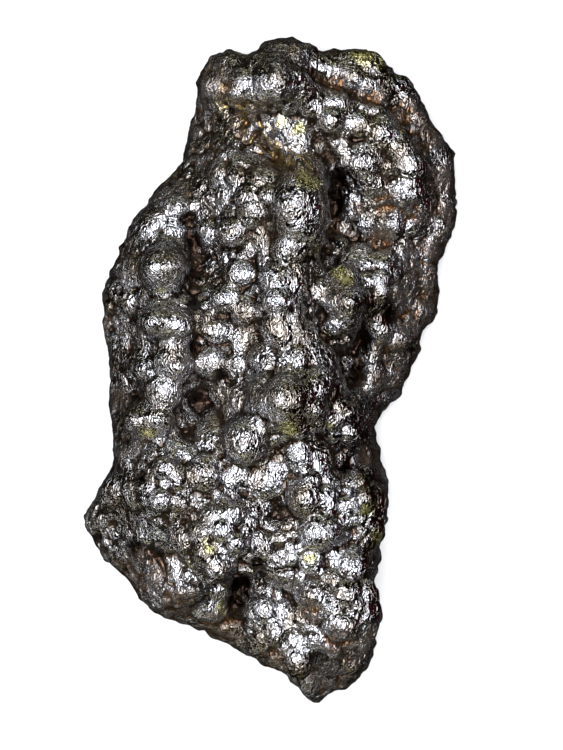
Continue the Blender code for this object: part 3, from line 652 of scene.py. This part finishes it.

# places where pale yellow-green glints are painted on the skin: middle and radius, mm
PAINTED_GLINT_PLACES = [
    (2.0, 49.4, 1.6), (5.6, 47.8, 1.5), (6.6, 37.8, 1.8), (8.6, 36.4, 1.5), (13.4, 28.0, 1.4),
    (12.4, 23.0, 1.3), (13.4, 19.4, 1.7), (15.2, 18.0, 1.4), (8.0, 12.6, 1.0), (10.8, 6.8, 1.3),
    (-15.8, 25.6, 1.6), (18.4, 62.6, 2.4), (22.0, 61.0, 1.6), (3.4, -11.4, 1.8), (11.2, -11.0, 1.2),
    (-16.6, -38.2, 1.4), (7.6, -35.8, 1.8), (21.2, -32.4, 1.6), (-11.6, -33.8, 1.5), (-9.4, -47.4, 1.6),
    (19.0, -27.0, 1.4), (-5.0, 64.0, 2.0), (26.4, 48.2, 1.4), (-24.0, -12.6, 1.5), (-21.4, 15.0, 1.4),
]
painted_glint = in_places(points, PAINTED_GLINT_PLACES, 0.5, 1.3)
write_mask("painted_glint", painted_glint * ramp(wide, 0.3 * MM, -0.1 * MM))
write_mask("crease", crease)
write_mask("valley", 1 - ramp(carried_over(level), 0.05, 0.6))
write_mask("hollow", hollow)
write_mask("pocket", pocket)
write_mask("side", np.clip(side + 0.4 * low_down, 0, 1))

# %% [markdown]
# ## The metallic skin
#
# Hematite is an oxide with a metal's shine: dark grey, with brown-red where it is thin or
# dusty. A metallic surface gets nearly all its look from reflections, so the wrinkles matter
# more than the colour. They are a node group of their own, fine noise that breaks each
# reflection into specks, so that they can be set apart from the colours.


# %% Node helpers
def new_group(name, inputs, outputs):
    """An empty shader node group with named sockets, and its two end nodes."""
    group = bpy.data.node_groups.new(name, "ShaderNodeTree")
    for label, kind, value in inputs:
        socket = group.interface.new_socket(label, in_out="INPUT", socket_type=kind)
        if value is not None:
            socket.default_value = value
    for label, kind in outputs:
        group.interface.new_socket(label, in_out="OUTPUT", socket_type=kind)
    return group, group.nodes.new("NodeGroupInput"), group.nodes.new("NodeGroupOutput")


def maths(tree, operation, first, second=None, clamp=False):
    """A Math node; each argument is a socket or a number."""
    node = tree.nodes.new("ShaderNodeMath")
    node.operation = operation
    node.use_clamp = clamp
    for place, value in enumerate((first, second)):
        if value is None:
            continue
        if isinstance(value, (int, float)):
            node.inputs[place].default_value = value
        else:
            tree.links.new(value, node.inputs[place])
    return node.outputs[0]


def noise_node(tree, where, scale, detail=3.0, roughness=0.6, distortion=0.0):
    node = tree.nodes.new("ShaderNodeTexNoise")
    node.inputs["Scale"].default_value = scale
    node.inputs["Detail"].default_value = detail
    node.inputs["Roughness"].default_value = roughness
    node.inputs["Distortion"].default_value = distortion
    tree.links.new(where, node.inputs["Vector"])
    return node.outputs["Fac"]


def between(tree, value, low, high):
    """Maps low..high to 0..1 with soft ends."""
    node = tree.nodes.new("ShaderNodeMapRange")
    node.interpolation_type = "SMOOTHSTEP"
    node.inputs["From Min"].default_value = low
    node.inputs["From Max"].default_value = high
    tree.links.new(value, node.inputs["Value"])
    return node.outputs["Result"]


def blend_colour(tree, share, first, second):
    """A colour mix; each colour is a socket or four numbers."""
    node = tree.nodes.new("ShaderNodeMix")
    node.data_type = "RGBA"
    if isinstance(share, (int, float)):
        node.inputs[0].default_value = share
    else:
        tree.links.new(share, node.inputs[0])
    for place, value in ((6, first), (7, second)):
        if isinstance(value, tuple):
            node.inputs[place].default_value = value
        else:
            tree.links.new(value, node.inputs[place])
    return node.outputs[2]


# %% Wrinkle group
WRINKLE_STRETCH = (1.25, 0.72, 1.0)
GROOVE_WIDTH = 0.03
GROOVE, FOLD, FINE = 0.12, 2.05, 0.10


def wrinkle_group():
    """Fine crumpled relief: two sizes of noise, folded so that flat facets meet in thin grooves."""
    group, given, result = new_group(
        "fine wrinkles",
        [("Vector", "NodeSocketVector", None), ("Size", "NodeSocketFloat", 900.0)],
        [("Height", "NodeSocketFloat")],
    )
    stretched = group.nodes.new("ShaderNodeVectorMath")
    stretched.operation = "MULTIPLY"
    stretched.inputs[1].default_value = WRINKLE_STRETCH
    group.links.new(given.outputs["Vector"], stretched.inputs[0])
    scaled = group.nodes.new("ShaderNodeVectorMath")
    scaled.operation = "SCALE"
    group.links.new(stretched.outputs[0], scaled.inputs[0])
    group.links.new(given.outputs["Size"], scaled.inputs["Scale"])
    coarse = noise_node(group, scaled.outputs[0], 1.0, 2.0, 0.55, 0.6)
    fine = noise_node(group, scaled.outputs[0], 2.6, 2.0, 0.6, 0.3)
    folded = maths(group, "ABSOLUTE", maths(group, "SUBTRACT", coarse, 0.5))
    groove = maths(group, "MULTIPLY", between(group, folded, 0.0, GROOVE_WIDTH), GROOVE)
    height = maths(group, "ADD", groove, maths(group, "MULTIPLY", folded, FOLD))
    height = maths(group, "ADD", height, maths(group, "MULTIPLY", fine, FINE))
    group.links.new(height, result.inputs["Height"])
    return group


# %% Stone material
BRIGHT_METAL, BROWNISH_METAL = (0.40, 0.405, 0.43, 1), (0.21, 0.185, 0.16, 1)
# pale yellow-green of the painted glints
PAINTED_GLINT_YELLOW = (0.50, 0.48, 0.22, 1)
# painted shade: valleys, hollows, pockets and patches in the deepest hollows
VALLEY_SHADE = (0.034, 0.025, 0.018, 1)
HOLLOW_SHADE = (0.040, 0.028, 0.021, 1)
POCKET_SHADE = (0.009, 0.005, 0.004, 1)
DEEP_HOLLOW_SHADE = (0.02, 0.010, 0.005, 1)
FIBRE_OCHRE = (0.36, 0.27, 0.10, 1)
WALL_DARK, WALL_PALE = (0.014, 0.009, 0.005, 1), (0.11, 0.092, 0.075, 1)
EARTH_DARK, EARTH_PALE = (0.022, 0.012, 0.006, 1), (0.15, 0.088, 0.050, 1)
RUST = (0.095, 0.045, 0.018, 1)
WALL_STREAKS = (0.3, 0.3, 1.6)
WRINKLES_PER_METRE = 850.0
WRINKLE_DEPTH = 0.31 * MM
LOWEST_ROUGHNESS = 0.02


def stone_material():
    """Wrinkled dark metal with painted shade in the valleys, hollows and pockets and painted yellow
    glints, streaked on the walls and earthy where weathered.
    """
    material = bpy.data.materials.new("hematite_skin")
    material.use_nodes = True
    tree = material.node_tree
    shader = tree.nodes["Principled BSDF"]
    where = tree.nodes.new("ShaderNodeTexCoord").outputs["Object"]

    def mask(name):
        node = tree.nodes.new("ShaderNodeAttribute")
        node.attribute_name = name
        return node.outputs["Fac"]

    def times(first, second, clamp=False):
        return maths(tree, "MULTIPLY", first, second, clamp)

    def plus(first, second):
        return maths(tree, "ADD", first, second)

    def larger(first, second):
        return maths(tree, "MAXIMUM", first, second)

    crease, hollow, side, brown = mask("crease"), mask("hollow"), mask("side"), mask("brown")
    fibre, painted_glint, valley, pocket = mask("fibre"), mask("painted_glint"), mask("valley"), mask("pocket")
    patches = noise_node(tree, where, 160, 4)
    grain = noise_node(tree, where, 900, 4, 0.65)
    mottling = noise_node(tree, where, 420, 4, 0.7)

    # patchy painted shade in the deepest hollows, where brown oxide lies, and the thin rust lines in the
    # deepest creases
    patchy_deep_shade = times(between(tree, hollow, 0.45, 1.0), between(tree, patches, 0.45, 0.62), True)
    thick = maths(tree, "POWER", brown, 3.0)
    rusty = times(between(tree, crease, 0.3, 0.9), plus(thick, 0.05), True)
    mottled = times(brown, between(tree, mottling, 0.32, 0.52), True)

    # the metal with painted yellow glints, and painted shade from the bright tops down through the
    # valleys and hollows into the pockets
    colour = blend_colour(tree, between(tree, patches, 0.35, 0.65), BRIGHT_METAL, BROWNISH_METAL)
    colour = blend_colour(tree, times(painted_glint, 0.9), colour, PAINTED_GLINT_YELLOW)
    colour = blend_colour(tree, times(valley, 0.9), colour, VALLEY_SHADE)
    colour = blend_colour(tree, between(tree, hollow, 0.3, 0.95), colour, HOLLOW_SHADE)
    colour = blend_colour(tree, times(pocket, 0.95), colour, POCKET_SHADE)

    # what lies over it: patchy painted shade in the deepest hollows, fibres, the streaks of the walls,
    # earth and rust
    colour = blend_colour(tree, patchy_deep_shade, colour, DEEP_HOLLOW_SHADE)
    colour = blend_colour(tree, times(fibre, 0.9), colour, FIBRE_OCHRE)
    flattened = tree.nodes.new("ShaderNodeVectorMath")
    flattened.operation = "MULTIPLY"
    flattened.inputs[1].default_value = WALL_STREAKS
    tree.links.new(where, flattened.inputs[0])
    streaks = noise_node(tree, flattened.outputs[0], 1300, 3, 0.6)
    wall_colour = blend_colour(tree, between(tree, streaks, 0.46, 0.62), WALL_DARK, WALL_PALE)
    colour = blend_colour(tree, times(side, 0.85), colour, wall_colour)
    earth = blend_colour(tree, between(tree, grain, 0.42, 0.6), EARTH_DARK, EARTH_PALE)
    colour = blend_colour(tree, times(mottled, 0.75), colour, earth)
    colour = blend_colour(tree, rusty, colour, RUST)
    tree.links.new(colour, shader.inputs["Base Color"])

    # earthy places are a little less metallic, hollows and walls a little less polished
    earthy = larger(times(side, 0.3), times(larger(patchy_deep_shade, mottled), 0.25))
    earthy = larger(earthy, times(fibre, 0.25))
    tree.links.new(maths(tree, "SUBTRACT", 1.0, earthy), shader.inputs["Metallic"])
    dull = plus(LOWEST_ROUGHNESS, times(larger(hollow, side), 0.11))
    dull = plus(dull, times(grain, 0.06))
    dull = plus(dull, times(painted_glint, 0.22))
    tree.links.new(dull, shader.inputs["Roughness"])

    # valleys and pockets are calmer than the tops
    wrinkles = tree.nodes.new("ShaderNodeGroup")
    wrinkles.node_tree = wrinkle_group()
    wrinkles.inputs["Size"].default_value = WRINKLES_PER_METRE
    tree.links.new(where, wrinkles.inputs["Vector"])
    calm = maths(tree, "SUBTRACT", 1.0, times(larger(valley, pocket), 0.7))
    bump = tree.nodes.new("ShaderNodeBump")
    bump.inputs["Strength"].default_value = 1.0
    bump.inputs["Distance"].default_value = WRINKLE_DEPTH
    tree.links.new(times(wrinkles.outputs["Height"], calm), bump.inputs["Height"])
    tree.links.new(bump.outputs["Normal"], shader.inputs["Normal"])
    print(material.name, "has", len(tree.nodes), "nodes")
    return material


stone.data.materials.clear()
stone.data.materials.append(stone_material())
stone.data.shade_smooth()
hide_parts("hematite")
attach(stone, "root")

# %% [markdown]
# ## Floor, light and camera
#
# The stone lies on a white table and the camera looks straight down. A dark metallic thing shows
# only what it mirrors, so one broad soft light hangs above for the silver tops, and low cards
# with a little colour stand round it for the glints on the slopes.

# %% Floor
TABLE_GREY, TABLE_WHITE = (0.93, 0.93, 0.93, 1), (0.95, 0.95, 0.95, 1)
TABLE_HALF = 3


def floor_material():
    """Nearly even matt white, a little brighter than the light alone makes it."""
    material = bpy.data.materials.new("white_table")
    material.use_nodes = True
    tree = material.node_tree
    shader = tree.nodes["Principled BSDF"]
    where = tree.nodes.new("ShaderNodeTexCoord").outputs["Object"]
    shade = blend_colour(tree, noise_node(tree, where, 3), TABLE_GREY, TABLE_WHITE)
    tree.links.new(shade, shader.inputs["Base Color"])
    shader.inputs["Roughness"].default_value = 0.9
    shader.inputs["Emission Color"].default_value = (1, 1, 1, 1)
    shader.inputs["Emission Strength"].default_value = 0.1
    return material


floor_shape = bmesh.new()
bmesh.ops.create_grid(floor_shape, x_segments=1, y_segments=1, size=TABLE_HALF)
floor_mesh = bpy.data.meshes.new("floor")
floor_shape.to_mesh(floor_mesh)
floor_shape.free()
floor = bpy.data.objects.new("floor", floor_mesh)
floor.data.materials.append(floor_material())
floor.visible_glossy = False
scene.collection.objects.link(floor)
print("table, m:", 2 * TABLE_HALF)


# %% Lights
def soft_light(name, place, size, watts, colour, target=(0, 0, 0.015)):
    """A rectangular light at a place in metres, turned towards the stone."""
    light = bpy.data.lights.new(name, "AREA")
    light.shape = "RECTANGLE"
    light.size = size[0]
    light.size_y = size[1]
    light.energy = watts
    light.color = colour
    lamp = bpy.data.objects.new(name, light)
    lamp.location = place
    lamp.rotation_euler = (Vector(target) - Vector(place)).to_track_quat("-Z", "Y").to_euler()
    scene.collection.objects.link(lamp)


soft_light("overhead_core", (-0.05, 0.0, 0.90), (0.80, 0.80), 17.2, (0.95, 0.965, 1.0))
soft_light("overhead_wide", (-0.14, 0.0, 0.92), (1.70, 1.70), 0.5, (1.0, 1.0, 1.0))
soft_light("glint_far", (0.03, 0.5, 0.20), (0.36, 0.14), 0.26, (1.0, 0.95, 0.6))
soft_light("glint_near", (0.0, -0.5, 0.20), (0.36, 0.14), 0.24, (1.0, 0.95, 0.6))
soft_light("left_card", (-0.70, 0.0, 0.25), (0.16, 0.8), 0.35, (1.0, 0.86, 0.70))
soft_light("foot_card", (-0.42, -0.40, 0.06), (0.5, 0.05), 0.45, (1.0, 1.0, 1.0))
soft_light("right_card", (0.70, 0.0, 0.18), (0.25, 0.6), 0.07, (0.75, 0.10, 0.12))

# the dark room that the slopes mirror: olive towards the ends, deep red to the right
ROOM_UP, ROOM_LOW = (0.005, 0.005, 0.006, 1), (0.010, 0.008, 0.006, 1)
ROOM_ENDS, ROOM_RIGHT = (0.026, 0.022, 0.011, 1), (0.007, 0.003, 0.003, 1)
world = bpy.data.worlds.new("studio")
world.use_nodes = True
sky = world.node_tree
facing = sky.nodes.new("ShaderNodeSeparateXYZ")
sky.links.new(sky.nodes.new("ShaderNodeTexCoord").outputs["Generated"], facing.inputs[0])
low = between(sky, facing.outputs["Z"], 0.45, 0.0)
ends = between(sky, maths(sky, "ABSOLUTE", facing.outputs["Y"]), 0.25, 0.85)
right = between(sky, facing.outputs["X"], 0.0, 0.5)
around = blend_colour(sky, ends, ROOM_LOW, ROOM_ENDS)
around = blend_colour(sky, right, around, ROOM_RIGHT)
shade = blend_colour(sky, low, ROOM_UP, around)
sky.links.new(shade, sky.nodes["Background"].inputs["Color"])
scene.world = world
scene.view_settings.view_transform = "Standard"
print("lights:", [lamp.name for lamp in bpy.data.lights])

# %% Camera
CAMERA_HEIGHT = 0.62
SHARP_HEIGHT = 0.012
PIXEL = 0.2 * MM
PICTURE_HEIGHT = 750
SENSOR = 36
lens = bpy.data.cameras.new("camera")
lens.sensor_width = SENSOR
lens.sensor_fit = "AUTO"
lens.lens = SENSOR * (CAMERA_HEIGHT - SHARP_HEIGHT) / (PICTURE_HEIGHT * PIXEL)
camera = bpy.data.objects.new("camera", lens)
camera.location = (2.4 * MM, -0.4 * MM, CAMERA_HEIGHT)
scene.collection.objects.link(camera)
scene.camera = camera
print("focal length, mm:", round(lens.lens, 1))
